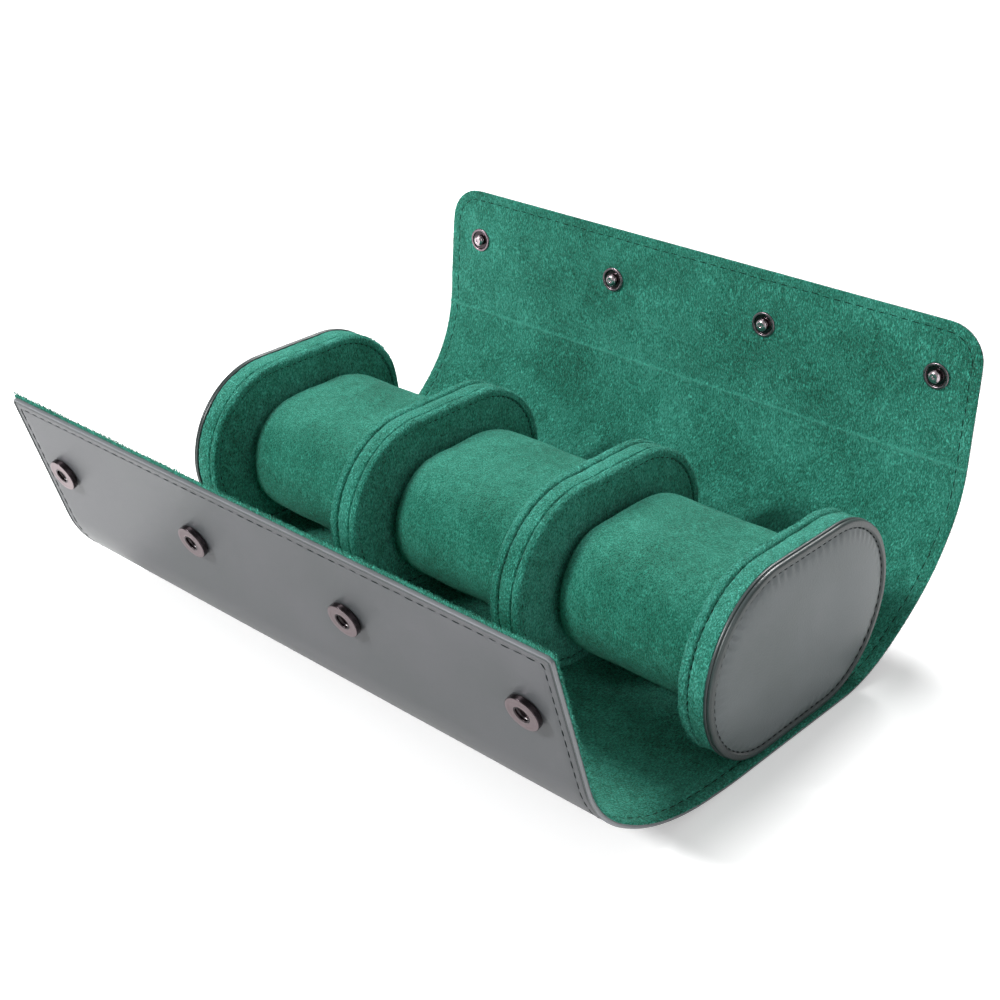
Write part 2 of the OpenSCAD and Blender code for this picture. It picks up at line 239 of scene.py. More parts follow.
class Recipe:
    """A material, with its shader and the nodes that feed it."""

    def __init__(self, name, **values):
        self.material = bpy.data.materials.new(name)
        self.material.use_nodes = True
        self.tree = self.material.node_tree
        self.shader = self.tree.nodes["Principled BSDF"]
        for socket, value in values.items():
            self.shader.inputs[socket.replace("_", " ")].default_value = value
        self.place = self.node("TexCoord", {}, {}, "Object")

    def node(self, kind, settings, inputs, output=0):
        made = self.tree.nodes.new("ShaderNode" + kind)
        stops = settings.pop("stops", None)
        for key, value in settings.items():
            setattr(made, key, value)
        if stops:
            ramp = made.color_ramp.elements
            while len(ramp) < len(stops):
                ramp.new(0.5)
            for element, (position, colour) in zip(ramp, stops):
                element.position, element.color = position, (*colour, 1)
        for key, value in inputs.items():
            if isinstance(value, Wire):
                self.tree.links.new(value.socket, made.inputs[key])
            else:
                made.inputs[key].default_value = value
        return Wire(self, made.outputs[output])

    def noise(self, size, detail=2.0, stretch=None, roughness=0.5, twist=0.0):
        """Noise whose lumps are about size metres across, and smaller along a stretched axis."""
        place = self.place
        if stretch:
            place = self.node("Mapping", {}, {"Vector": place, "Scale": stretch})
        inputs = {"Vector": place, "Scale": 1 / size, "Detail": detail}
        inputs |= {"Roughness": roughness, "Distortion": twist}
        return self.node("TexNoise", {}, inputs)

    def spread(self, value, low=0.35, high=0.65):
        """Stretches the middle of a noise over the whole range from 0 to 1."""
        return self.node("MapRange", {}, {"Value": value, "From Min": low, "From Max": high})

    def cells(self, size):
        return self.node("TexVoronoi", {}, {"Vector": self.place, "Scale": 1 / size})

    def ramp(self, value, *stops):
        return self.node("ValToRGB", {"stops": stops}, {"Fac": value})

    def blend_colour(self, factor, a, b):
        return self.node("Mix", {"data_type": "RGBA"}, {0: factor, 6: (*a, 1), 7: (*b, 1)}, 2)

    def bump(self, height, distance, strength=1.0):
        inputs = {"Height": height, "Distance": distance, "Strength": strength}
        return self.node("Bump", {}, inputs)

    def feed(self, **links):
        for socket, wire in links.items():
            self.tree.links.new(wire.socket, self.shader.inputs[socket.replace("_", " ")])
        return self.material


print("helpers ready")

# %% [markdown]
# ## Suede
# Suede has no shine. Its short nap stands up in tufts of a millimetre or so, each with a lit tip
# and a dark root, and where a hand has brushed it the other way it turns darker or paler in soft
# patches. Noise in three sizes gives tufts, streaks and brushed patches, and the tufts are drawn
# out the way the nap lies. They drive a deep bump, and the colour as well, which paints the light
# on each tuft's tip and the shade at its root; sheen gives the pale edge of a lit nap. An attribute
# on the skin paints the lid's ridge paler, as a highlight where light catches the ridge.

# %% Suede for the lining, the walls and the pillows
def suede(name, dark, mid, light, tuft, depth, nap):
    recipe = Recipe(
        name, Roughness=0.95, Sheen_Weight=0.16, Sheen_Roughness=0.45, Specular_IOR_Level=0.1)
    recipe.shader.inputs["Sheen Tint"].default_value = (0.60, 0.95, 0.85, 1)
    tufts = recipe.spread(recipe.noise(tuft, 2.0, nap, 0.62, 0.5), 0.37, 0.63)
    streaks = recipe.spread(recipe.noise(tuft * 6, 2.0, (1.3, 1.0, 1.0), twist=1.2), 0.3, 0.7)
    patches = recipe.spread(recipe.noise(30 * MM, 2.0), 0.3, 0.7)
    # Painted highlight: the lid's ridge is made paler where it catches the light
    ridge_highlight = recipe.node("Attribute", {"attribute_name": "ridge_highlight"}, {}, "Fac")
    tone = tufts * 0.54 + streaks * 0.18 + patches * 0.24 + ridge_highlight * 0.45 + 0.03
    # The colour paints light on the tip of each tuft and shade at its root, as the bump also shades
    # them
    colour = recipe.ramp(tone, (0.10, dark), (0.5, mid), (0.88, light))
    height = tufts * 0.9 + streaks * 0.3
    rough = (tufts * 0.15 + 0.85).clamp()
    return recipe.feed(Base_Color=colour, Roughness=rough, Normal=recipe.bump(height, depth, 1.0))


# Each takes a dark, a middle and a light tone, the size and depth of a tuft, and how the nap lies
lining_suede = suede(
    "brushed green suede", (0.006, 0.088, 0.051), (0.029, 0.288, 0.197), (0.092, 0.530, 0.400),
    1.05 * MM, 0.90 * MM, (2.6, 1.2, 1.0))
# Painted lighter than the lining, for the light on the tops of the walls
lit_wall_suede = suede(
    "wall suede, painted lighter for the lit wall tops", (0.007, 0.108, 0.065), (0.039, 0.335, 0.237), (0.125, 0.610, 0.485),
    0.90 * MM, 0.75 * MM, (2.2, 1.8, 1.0))
pillow_suede = suede(
    "pillow suede", (0.006, 0.090, 0.053), (0.025, 0.250, 0.168), (0.078, 0.460, 0.342),
    0.85 * MM, 0.60 * MM, (2.2, 1.6, 1.0))
print("three suedes")

# %% [markdown]
# ## Leather
# The outside is a smooth corrected leather: a fine pebble grain that only shows where light grazes
# it, and a soft gloss that changes a little from place to place. Its rolled edges and creases are
# painted darker as shade, the top of the edge roll is painted lighter as a highlight, and the end
# faces are painted lighter than the wrap for their sheen. Cells give the pebbles, and a finer noise
# breaks them up. The grain is mostly bump, because colour that is painted dark in the pits would
# make the leather look dirty from far away.

# %% Leather for the wrap and the end faces
def leather(name, dark, light, gloss):
    recipe = Recipe(name, Specular_IOR_Level=0.5, Coat_Weight=0.15, Coat_Roughness=0.40)
    pebbles = recipe.cells(0.75 * MM)
    pores = recipe.noise(0.3 * MM, 3.0)
    clouds = recipe.spread(recipe.noise(35 * MM, 3.0))
    colour = recipe.ramp((clouds * 0.6 + pores * 0.4).clamp(), (0.15, dark), (0.85, light))
    rough = (clouds * 0.08 + pores * 0.12 + gloss).clamp()
    grain = recipe.bump(pebbles * 0.5 + pores * 0.35, 0.12 * MM, 0.6)
    return recipe.feed(Base_Color=colour, Roughness=rough, Normal=grain)


# Each takes a dark and a light tone, and its least roughness
wrap_leather = leather(
    "dark green wrap leather", (0.072, 0.079, 0.083), (0.100, 0.103, 0.111), 0.27)
# The end faces: painted lighter than the wrap leather, for the sheen of light on them
lit_face_leather = leather(
    "dark green face leather, painted lighter for its sheen", (0.084, 0.103, 0.105), (0.122, 0.140, 0.146), 0.27)
# Painted dark as shade, for the rolled edges and the creases beside them
shaded_edge_leather = leather(
    "leather of the borders, painted dark as shade", (0.024, 0.034, 0.034), (0.046, 0.060, 0.060), 0.24)
# Painted light as a highlight, for the top of the edge roll
highlit_roll_leather = leather(
    "leather of the edge roll, painted light as a highlight", (0.150, 0.158, 0.168), (0.200, 0.210, 0.225), 0.10)
print("four leathers")

# %% [markdown]
# ## Thread, metal, wire and board
# Thread is twisted, so a fine noise breaks up its colour and surface. The snaps are plated
# gunmetal, polished but a little worn, so their roughness wanders. The boards are inside and never
# seen, but they are real parts, so they get a plain finish of their own.

# %% The small finishes
def thread(name, colour):
    recipe = Recipe(name, Roughness=0.65, Specular_IOR_Level=0.2)
    twist = recipe.noise(0.12 * MM, 2.0)
    shade = recipe.blend_colour(twist, colour, tuple(c * 2.2 for c in colour))
    return recipe.feed(Base_Color=shade, Normal=recipe.bump(twist, 0.05 * MM, 0.5))


def gunmetal(name, colour, gloss):
    recipe = Recipe(name, Metallic=1.0)
    wear = recipe.noise(1.2 * MM, 3.0)
    scratches = recipe.noise(0.18 * MM, 2.0, (1.0, 5.0, 1.0))
    pale = tuple(min(1.0, c * 1.35) for c in colour)
    shade = recipe.blend_colour(wear, colour, pale)
    rough = (wear * 0.14 + scratches * 0.06 + gloss).clamp()
    relief = recipe.bump(scratches, 0.01 * MM, 0.25)
    return recipe.feed(Base_Color=shade, Roughness=rough, Normal=relief)


def grainy(name, dark, light, size, depth):
    recipe = Recipe(name, Roughness=0.9, Specular_IOR_Level=0.2)
    grain = recipe.noise(size, 4.0)
    shade = recipe.ramp(grain, (0.35, dark), (0.65, light))
    return recipe.feed(Base_Color=shade, Normal=recipe.bump(grain, depth, 0.6))


leather_thread = thread("dark thread on leather", (0.004, 0.007, 0.007))
suede_thread = thread("dark green thread", (0.002, 0.016, 0.010))
socket_metal = gunmetal("gunmetal plating", (0.250, 0.200, 0.210), 0.24)
stud_metal = gunmetal("polished gunmetal", (0.215, 0.170, 0.190), 0.18)
ball_metal = gunmetal("polished ball", (0.500, 0.420, 0.450), 0.12)
# Painted dark as shade, for the hollow and side of the socket and the dish of the stud
shaded_metal = gunmetal("gunmetal painted dark as shade", (0.050, 0.040, 0.044), 0.14)
# Painted dark as shade, for the springs down in the socket's hollow
shaded_spring_metal = gunmetal("spring wire painted dark as shade", (0.17, 0.16, 0.165), 0.22)
bookboard = grainy(
    "grey-brown board", (0.22, 0.17, 0.10), (0.42, 0.34, 0.22), 1.5 * MM, 0.1 * MM)
print("small finishes ready")

# %% [markdown]
# ## From a mesh to a piece
# Every piece ends the same way: its edges are marked sharp where two faces meet at a clear angle,
# and then it is told which CAD body it rides on and which nodes it replaces.

# %% Turn a bmesh into a finished piece
def sharpen(bm, degrees=38):
    limit = math.radians(degrees)
    for face in bm.faces:
        face.smooth = True
    for edge in bm.edges:
        edge.smooth = not edge.is_manifold or edge.calc_face_angle(0.0) < limit


def placed(name, bm):
    """Puts a mesh into the scene as an object, and frees the bmesh."""
    mesh = bpy.data.meshes.new(name)
    bm.to_mesh(mesh)
    bm.free()
    made = bpy.data.objects.new(name, mesh)
    scene.collection.objects.link(made)
    return made


def make_piece(name, bm, materials, slot, replaces, body=None, degrees=38):
    sharpen(bm, degrees)
    piece = placed(name, bm)
    for material in materials:
        piece.data.materials.append(material)
    if body:
        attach(piece, body)
    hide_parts(*replaces)
    return piece


def clean(bm, dist):
    """Merges doubles and turns the faces outwards."""
    bmesh.ops.remove_doubles(bm, verts=bm.verts, dist=dist)
    bmesh.ops.dissolve_degenerate(bm, edges=bm.edges, dist=1e-7)
    bmesh.ops.recalc_face_normals(bm, faces=bm.faces)


def absorb(bm, other):
    """Adds the other mesh to this one and frees it."""
    mesh = bpy.data.meshes.new("part")
    other.to_mesh(mesh)
    other.free()
    bm.from_mesh(mesh)
    bpy.data.meshes.remove(mesh)


def recoat(node, material):
    """Gives a node of the CAD, which stays as it is, its finish."""
    materials = frame["nodes"][node].data.materials
    materials.clear()
    materials.append(material)


print("piece maker ready")

# %% [markdown]
# ## Profiles with rounded corners
# Most forms here start from a short list of corners, each with its own radius, as on a drawing. One
# function turns such a list into points, for outlines of sheets as well as profiles to be spun.

# %% Round the corners of a profile
def rounded(points, steps=4):
    """A profile in which every point with a radius is rounded: (x, y) or (x, y, radius)."""
    found = []
    for n, point in enumerate(points):
        here = Vector(point[:2])
        if len(point) == 2:
            found.append(tuple(here))
            continue
        before = (Vector(points[n - 1][:2]) - here).normalized()
        after = (Vector(points[(n + 1) % len(points)][:2]) - here).normalized()
        half = before.angle(after) / 2
        reach = point[2] / math.tan(half)
        centre = here + (before + after).normalized() * point[2] / math.sin(half)
        first, last = ((here + d * reach - centre).normalized() for d in (before, after))
        for i in range(steps + 1):
            found.append(tuple(centre + point[2] * first.slerp(last, i / steps)))
    return found


def in_mm(points):
    return [tuple(c * MM for c in p) for p in points]


square = [(0, 0), (1, 0), (1, 1, 0.3), (0, 1)]
print("a square with one round corner:", len(rounded(square)), "points")

# %% [markdown]
# ## Cut the leather and the suede
# The leather is cut to the outline, its edge is turned in over the board in a thin roll, and a
# crease is pressed beside the roll with a hot iron. A stitch line runs three and a half millimetres
# in. Flat, all of that is one section carried round the outline: a row of nested loops, each drawn
# out of the one before, a little further in and at its own level. The suede is a thinner slab of
# the same kind. Its cut edge stands a millimetre proud at the front flap and a little elsewhere.

# %% A slab from nested outlines
front_corner, lid_corner, least_corner = 2 * MM, 14 * MM, 0.3 * MM
stitch_in = 3.55 * MM
trim_fade = 3 * MM


def wrap_outline(ends, front, lid, small, large):
    """The outline of the wrap, drawn in by these lengths, with two small and two large corners."""
    half, near, far = wrap_half - ends, -flap_end["front"] + front, flap_end["back"] - lid
    corners = [(-half, near, small), (half, near, small), (half, far, large), (-half, far, large)]
    return rounded(corners, 8)


def outline_at(inset, trim):
    """The outline this far in, and trimmed at the ends, the front and the lid."""
    fade = max(0.0, 1 - inset / trim_fade)
    small, large = (max(c - inset, least_corner) for c in (front_corner, lid_corner))
    return wrap_outline(*(inset + fade * t * MM for t in trim), small, large)


def slab(section, trim=(0, 0, 0), paint=()):
    """A sheet with rounded corners. section is a chain of (inset, level) from side to side.

    The trim fades out further in. paint holds (first step, last step, material) of the section."""
    bm = bmesh.new()
    verts, ring = [], []
    for n, (inset, level) in enumerate(in_mm(section)):
        points = outline_at(inset, trim)
        if not verts:
            verts = [bm.verts.new((*p, level)) for p in points]
            ring = [bm.edges.new(pair) for pair in zip(verts, verts[1:] + verts[:1])]
            bmesh.ops.edgeloop_fill(bm, edges=ring)
            continue
        made = bmesh.ops.extrude_edge_only(bm, edges=ring)["geom"]
        fresh = {g for g in made if isinstance(g, bmesh.types.BMVert)}
        around = ([e.other_vert(v) for e in v.link_edges] for v in verts)
        verts = [next(v for v in near if v in fresh) for near in around]
        for vert, point in zip(verts, points):
            vert.co = (*point, level)
        edges = [g for g in made if isinstance(g, bmesh.types.BMEdge)]
        ring = [e for e in edges if fresh.issuperset(e.verts)]
        found = next((material for first, last, material in paint if first <= n <= last), 0)
        for face in (g for g in made if isinstance(g, bmesh.types.BMFace)):
            face.material_index = found
    bmesh.ops.edgeloop_fill(bm, edges=ring)
    bmesh.ops.recalc_face_normals(bm, faces=bm.faces)
    return bm


def leather_sheet():
    inside = [(4.85, -1.5), (4.8, -0.8)]
    roll = [(0.5, -0.8), (0.15, -0.92), (0, -1.2), (0, -1.95)]
    roll += [(0.12, -2.25), (0.4, -2.4), (0.7, -2.4), (0.95, -2.28)]
    crease = [(1.15, -2.02), (1.4, -2.2), (1.9, -2.3)]
    stitch_valley = [(3.2, -2.3), (3.6, -2.14), (4.0, -2.3)]
    edge = len(inside)
    # The edge of the roll is painted light as a highlight, and the strip beside it with the crease
    # is painted dark as shade
    paint = [(edge, edge + 5, 3), (edge + 6, edge + 9, 2)]
    return slab(inside + roll + crease + stitch_valley, paint=paint)


def lining_sheet():
    cut_edge = [(4.8, -0.8), (0.3, -0.8), (0.0, -0.62), (0.05, -0.25)]
    cut_edge += [(0.3, -0.04), (0.8, 0.02), (2.2, 0.0)]
    stitch_valley = [(2.8, -0.02), (3.3, -0.26), (3.8, -0.26), (4.4, -0.02), (5.0, 0.0)]
    return slab(cut_edge + stitch_valley, (-0.4, -1.0, -0.3))


def cut(bm, normal, place, **clear):
    """Cuts a mesh by a plane, and can clear one side away."""
    geom, plane = bm.verts[:] + bm.edges[:] + bm.faces[:], Vector(normal) * place
    bmesh.ops.bisect_plane(bm, geom=geom, plane_co=plane, plane_no=normal, dist=1e-7, **clear)


def even_steps(low, high, step):
    count = max(2, round((high - low) / step))
    return [low + (high - low) * i / count for i in range(1, count)]


print("outline", round(2 * wrap_half / MM), "by", round(sum(flap_end.values()) / MM), "mm")


# %% Places where the wrap is cut across, and into pieces
# The first piece begins a little before the first hinge line, and the last plane is past the edge
first_reach, past_edge = 5.5 * MM, 5 * MM
cut_step, column_step, border_gap, crease_back = 2.2 * MM, 3.1 * MM, 0.25 * MM, 0.8 * MM


def borders(flap):
    """Where one skin piece ends and the next begins: in the middle of each bend."""
    marks = paths[flap]["marks"]
    middles = [(a + b) / 2 for a, b in zip(marks, marks[1:])]
    return [marks[0] - first_reach] + middles + [flap_end[flap] + past_edge]


piece_borders = {flap: borders(flap) for flap in FLAPS}
stations = even_steps(-flap_end["front"], flap_end["back"], cut_step)
for flap, (body, sign) in FLAPS.items():
    for border in piece_borders[flap][:-1]:
        stations += [sign * (border + step) for step in (-border_gap, border_gap)]
lid_crease = paths["back"]["marks"][-1] - crease_back
stations += [lid_crease + step * MM for step in (-1.2, -0.5, 0.0, 0.5, 1.2)]
columns = even_steps(-wrap_half, wrap_half, column_step)
print(len(stations), "cuts across and", len(columns), "along")

# %% [markdown]
# ## Stitches and tufts
# A machine stitch is a short bead of thread that dives into the sheet at both ends. A low sphere,
# stretched and sunk a little, has that shape with only a few faces, and hundreds of them follow an
# outline near the edge, on both sides of the wrap. A cut edge or a folded seam of suede is never
# crisp: its nap fans out. Small three-sided spikes do that job.

# %% Stitches along an outline, and tufts
stitch_pitch, stitch_long, stitch_corner = 4.6 * MM, 3.4 * MM, 1.5 * MM
tuft_long, tuft_wide = 1.0 * MM, 0.42 * MM


def walk(loop, pitch):
    """Points and directions, a pitch apart, round a closed loop."""
    line = [Vector(p) for p in loop]
    line.append(line[0])
    found, walked, due = [], 0.0, 0.0
    for a, b in zip(line, line[1:]):
        length = (b - a).length
        while due <= walked + length and length > 0:
            found.append((a + (b - a) * (due - walked) / length, (b - a).normalized()))
            due += pitch
        walked += length
    return found


def small_shape(create, **sizes):
    """The corners and faces of a small shape made by an operator, to be stamped many times."""
    bm = bmesh.new()
    create(bm, **sizes)
    shape = [v.co.copy() for v in bm.verts], [[v.index for v in f.verts] for f in bm.faces]
    bm.free()
    return shape


stitch_shape = small_shape(bmesh.ops.create_uvsphere, u_segments=6, v_segments=4, radius=1)
tuft_shape = small_shape(
    bmesh.ops.create_cone, segments=3, radius1=1, radius2=0.15, depth=2, cap_ends=True)


def stamp(bm, shape, where, material):
    corners, faces = shape
    verts = [bm.verts.new(where @ co) for co in corners]
    for face in faces:
        bm.faces.new([verts[i] for i in face]).material_index = material


def add_stitch(bm, place, along, out, length, width, material):
    """One stitch: the low sphere stretched along its line."""
    turn = Matrix((along, out.cross(along), out)).transposed().to_4x4()
    scale = Matrix.Diagonal((length / 2, width / 2, width / 2, 1))
    stamp(bm, stitch_shape, Matrix.Translation(place) @ turn @ scale, material)


def add_tuft(bm, place, out, length, width):
    """One tuft of nap, leaning a little at random."""
    lean = Vector([dice.uniform(-0.7, 0.7) for _ in range(3)])
    aim = (out + lean).normalized().to_track_quat("Z", "Y").to_matrix().to_4x4()
    size = dice.uniform(0.6, 1.2)
    scale = Matrix.Diagonal((width / 2 * size, width / 2 * size, length / 2 * size, 1))
    stamp(bm, tuft_shape, Matrix.Translation(place + out * length * 0.2) @ aim @ scale, 0)


stitch_loop = wrap_outline(*[stitch_in] * 3, stitch_corner, lid_corner - stitch_in)
stitch_line = walk(stitch_loop, stitch_pitch)
print(len(stitch_line), "stitches round the wrap")

# %% [markdown]
# ## Lay the skins and cut them at the hinges
# Each flat sheet is cut across every couple of millimetres, so that it can bend, and given a very
# slight waviness, because no glued skin is truly flat. It is then divided in the middle of each
# bend, so that every piece lies across one hinge. Only the middle piece rides on the tray.

# %% How uneven the skins are
leather_wave, leather_size = 0.08 * MM, 38 * MM
brush_wave, brush_size = 0.20 * MM, 8 * MM
dent_wave, dent_size, dent_reach, dent_fade = 0.55 * MM, 27 * MM, 20 * MM, 12 * MM
crease_high, crease_wide = 0.45 * MM, 0.55 * MM


def leather_relief(point):
    return leather_wave * (1 + noise.noise(Vector((point.x, point.y, 0)) / leather_size))


def on_crease(y):
    return math.exp(-((y - lid_crease) / crease_wide) ** 2)


def lining_relief(point):
    """Brushed unevenness, soft dents in the lid, and the ridge where the lid's board begins."""
    flat = Vector((point.x, point.y, 0.1))
    height = brush_wave * noise.noise(flat / brush_size)
    if point.y > lid_crease - dent_reach:
        fade = min(1.0, (flap_end["back"] - point.y) / dent_fade)
        height += dent_wave * noise.noise(flat / dent_size) * fade
        height += crease_high * on_crease(point.y)
    return height


print("the lid's ridge stands up", crease_high / MM, "mm")


# %% Build the skins
blend_margin, panel_reach = 0.3 * MM, board_margin - 0.5 * MM


def cut_nap():
    """Where tufts stand out of the cut edges of the lining: spot and direction."""
    proud_front, proud_end = 1.0 * MM, 0.35 * MM
    front_pitch, end_pitch, end_run = 0.42 * MM, 0.6 * MM, 348 * MM
    low, high = -0.6, -0.05
    front, half = -flap_end["front"] - proud_front, wrap_half + proud_end
    for step in range(round(2 * half / front_pitch)):
        level = dice.uniform(low, high) * MM
        yield Vector((-half + step * front_pitch, front, level)), Vector((0, -1, 0.3))
    for sign in (-1, 1):
        for step in range(round(end_run / end_pitch)):
            level = dice.uniform(low, high) * MM
            yield Vector((sign * half, front + step * end_pitch, level)), Vector((sign, 0, 0.3))


def skin_piece(sheet, name, node, low, high, look):
    """One piece of a skin, from low to high along the wrap, stitched, tufted and laid."""
    thread_level, thread_width, materials, slot, relief, tufts = look
    bm = sheet.copy()
    cut(bm, (0, 1, 0), low, clear_inner=True)
    cut(bm, (0, 1, 0), high, clear_outer=True)
    bmesh.ops.holes_fill(bm, edges=[e for e in bm.edges if e.is_boundary])
    bmesh.ops.triangulate(bm, faces=[f for f in bm.faces if len(f.verts) > 4])
    # A painted highlight on the lid's ridge, which the suede reads to turn paler
    ridge_highlight = bm.verts.layers.float.new("ridge_highlight")
    for vert in bm.verts:
        vert[ridge_highlight] = on_crease(vert.co.y) * (0.7 + 0.3 * noise.noise(vert.co / (5 * MM)))
        vert.co.z += relief(vert.co)
    for spot, along in stitch_line:
        if low <= spot.y < high:
            aside = along.yx * dice.uniform(-0.15, 0.15) * MM
            level = thread_level + relief(spot)
            place = Vector((spot.x + aside.x, spot.y + aside.y, level))
            length = stitch_long * dice.uniform(0.85, 1.15)
            add_stitch(bm, place, along.to_3d(), Vector((0, 0, 1)), length, thread_width, 1)
    for spot, out in tufts:
        if low <= spot.y < high:
            add_tuft(bm, spot, out, tuft_long, tuft_wide)
    for vert in bm.verts:
        vert.co = lay(vert.co)
    bmesh.ops.recalc_face_normals(bm, faces=bm.faces)
    return make_piece(name, bm, materials, slot, [node])


def wrap_skin(sheet, layer, *look):
    """A whole skin: a rigid middle under the tray, and five pieces each way."""
    for normal, places in (((0, 1, 0), stations), ((1, 0, 0), columns)):
        for place in places:
            cut(sheet, normal, place)
    low, high = -piece_borders["front"][0], piece_borders["back"][0]
    middle = skin_piece(sheet, f"{layer}_wrap_base", f"{layer}_base", low, high, look)
    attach(middle, "tray")
    faces = len(middle.data.polygons)
    for flap, (panel, sign) in FLAPS.items():
        chain = ["tray"] + [f"{flap}_bend_{i}" for i in range(1, 5)] + [panel]
        edges = piece_borders[flap]
        for n in range(5):
            low, high = sorted((sign * edges[n], sign * edges[n + 1]))
            name = f"{layer}_wrap_{flap}_{n + 1}"
            node = f"{layer}_{panel}" if n == 4 else f"{layer}_{flap}_bend_{n + 1}"
            piece = skin_piece(sheet, name, node, low, high, look)
            last = paths[flap]["marks"][4] + panel_reach if n == 4 else edges[n + 1]
            ends = [lay((0, sign * s, 0)) for s in (edges[n] + blend_margin, last - blend_margin)]
            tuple(ends[0])
            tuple(ends[1])
            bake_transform(piece)
            faces += len(piece.data.polygons)
    sheet.free()
    print(faces, layer, "faces")


# Each look is the level and width of its thread, then materials, slot, relief and tufts
wrap_skin(
    leather_sheet(), "leather", -leather_outer + 0.21 * MM, 0.48 * MM,
    (wrap_leather, leather_thread, shaded_edge_leather, highlit_roll_leather), "leather", leather_relief, ())
wrap_skin(
    lining_sheet(), "lining", -0.27 * MM, 0.42 * MM,
    (lining_suede, suede_thread), "suede_lining", lining_relief, list(cut_nap()))

# %% [markdown]
# ## Snap fasteners
# A snap is turned metal, so each half is one profile spun round its axis. The socket stands on the
# leather as a thick washer with a mouth for the ball, and the stud is a dished ring with a rolled
# rim and a round ball in its middle. The CAD says where they sit and how big they are, and these
# finer pieces add the rolled rims and small steps that catch the light.

# %% Spin a profile round an axis
turned_steps = 48


def spun(profile, place, zones):
    """A turned solid from a closed profile of (radius, height) points, put in place.

    zones holds (radius, material): the first radius that a face lies within gives its material."""
    bm = bmesh.new()
    verts = [bm.verts.new((r, 0, h)) for r, h in profile]
    ring = [bm.edges.new(pair) for pair in zip(verts, verts[1:] + verts[:1])]
    bmesh.ops.spin(
        bm, geom=verts + ring, cent=(0, 0, 0), axis=(0, 0, 1), angle=math.tau,
        steps=turned_steps, use_merge=True)
    clean(bm, 1e-7)
    for face in bm.faces:
        away = face.calc_center_median().xy.length
        face.material_index = next(material for radius, material in zones if away < radius * MM)
    bmesh.ops.transform(bm, matrix=place, verts=bm.verts)
    return bm


# The socket from its foot out, over the rim, in to the mouth and down into the hollow
socket_profile = in_mm([
    (1.7, 0.0), (5.7, 0.0, 0.15), (6.25, 0.35, 0.3), (6.25, 2.2, 0.22), (5.0, 2.2, 0.1),
    (4.8, 2.13, 0.1), (3.3, 2.13, 0.1), (3.1, 2.22, 0.1), (2.45, 2.22, 0.25), (2.45, 1.5, 0.1),
    (4.6, 1.5, 0.2), (4.6, 0.5, 0.2), (1.7, 0.5)])
# The stud from its foot out, over the rim, down into the dish and up over the ball
stud_profile = in_mm([
    (1.6, 0.0), (4.6, 0.0, 0.15), (5.0, 0.3, 0.2), (5.0, 0.8, 0.35), (4.1, 0.8, 0.3),
    (3.7, 0.42, 0.25), (1.7, 0.42, 0.2), (1.7, 0.75, 0.1), (2.35, 1.25, 0.3), (2.35, 1.95, 0.5),
    (1.5, 2.5, 0.6), (0.6, 2.5, 0.15), (0.5, 2.15, 0.1), (0.0, 2.1), (0.0, 1.6), (1.3, 1.5, 0.2)])
# The mouth and side of the socket and the dish of the stud take the metal painted dark as shade
socket_zones = [(2.9, 1), (6.05, 0), (9.0, 1)]
stud_zones = [(2.4, 2), (4.0, 1), (9.0, 0)]
print("profiles of", len(socket_profile), "and", len(stud_profile), "points")


# %% Set the snaps in their rows
def snap_row(name, flap, along, level, profile, zones, metals, nodes):
    row = bmesh.new()
    for x in snap_x:
        facing = Matrix.Rotation(math.pi, 4, "X") if level < 0 else Matrix.Identity(4)
        place = panel_place(flap) @ Matrix.Translation((x, along, level)) @ facing
        absorb(row, spun(rounded(profile), place, zones))
    return make_piece(name, row, metals, "snap_metal", nodes, FLAPS[flap][0], 30)


# Places along the wrap count outwards from the base, on both flaps
snap_row("snap_socket_row", "front", flap_end["front"] - socket_edge, -leather_outer,
         socket_profile, socket_zones, [socket_metal, shaded_metal], ["snap_sockets"])
snap_row("snap_stud_row", "back", flap_end["back"] - stud_edge, 0.0,
         stud_profile, stud_zones, [stud_metal, shaded_metal, ball_metal], ["snap_studs"])
# The springs take the wire painted dark as shade
for node, metal in zip(("springs", "caps", "posts"), (shaded_spring_metal, stud_metal, stud_metal)):
    recoat("snap_" + node, metal)

# %% [markdown]
# ## The walls of the tray
# Every wall is a slab with two round ends, so each of its skins is one profile carried round that
# outline: half a turn, a straight run, half a turn and back. Spin does the turns and an extrusion
# the runs. The seam stands up as a soft ridge, because the band and the face are sewn together
# with their edges folded outwards, and the stitches lie in the valley beside it.

# %% Carry a profile round the outline of a wall
seam_pitch = 3.2 * MM
wall_step, band_step, pad_step = 1.2 * MM, 0.7 * MM, 0.85 * MM


def round_wall(profile, flat=tray_flat, centre=tray_mid, step=wall_step, outer=tray_radius):
    """profile is a chain of (x, radius) points. A closed chain repeats its first point."""
    bm = bmesh.new()
    verts = [bm.verts.new((x, -flat / 2, centre.z + r)) for x, r in profile]
    chain = verts + [bm.edges.new(pair) for pair in zip(verts, verts[1:])]
    turns, runs = round(math.pi * outer / step), round(flat / step)
    for sign in (-1, 1):
        middle = (0, sign * flat / 2, centre.z)
        made = bmesh.ops.spin(
            bm, geom=chain, cent=middle, axis=(1, 0, 0), angle=math.pi, steps=turns)
        chain = made["geom_last"]
        for _ in range(runs):
            edges = [g for g in chain if isinstance(g, bmesh.types.BMEdge)]
            made = bmesh.ops.extrude_edge_only(bm, edges=edges)
            chain = [g for g in made["geom"] if not isinstance(g, bmesh.types.BMFace)]
            verts = [g for g in chain if isinstance(g, bmesh.types.BMVert)]
            bmesh.ops.translate(bm, verts=verts, vec=(0, -sign * flat / runs, 0))
    clean(bm, 1e-6)
    return bm


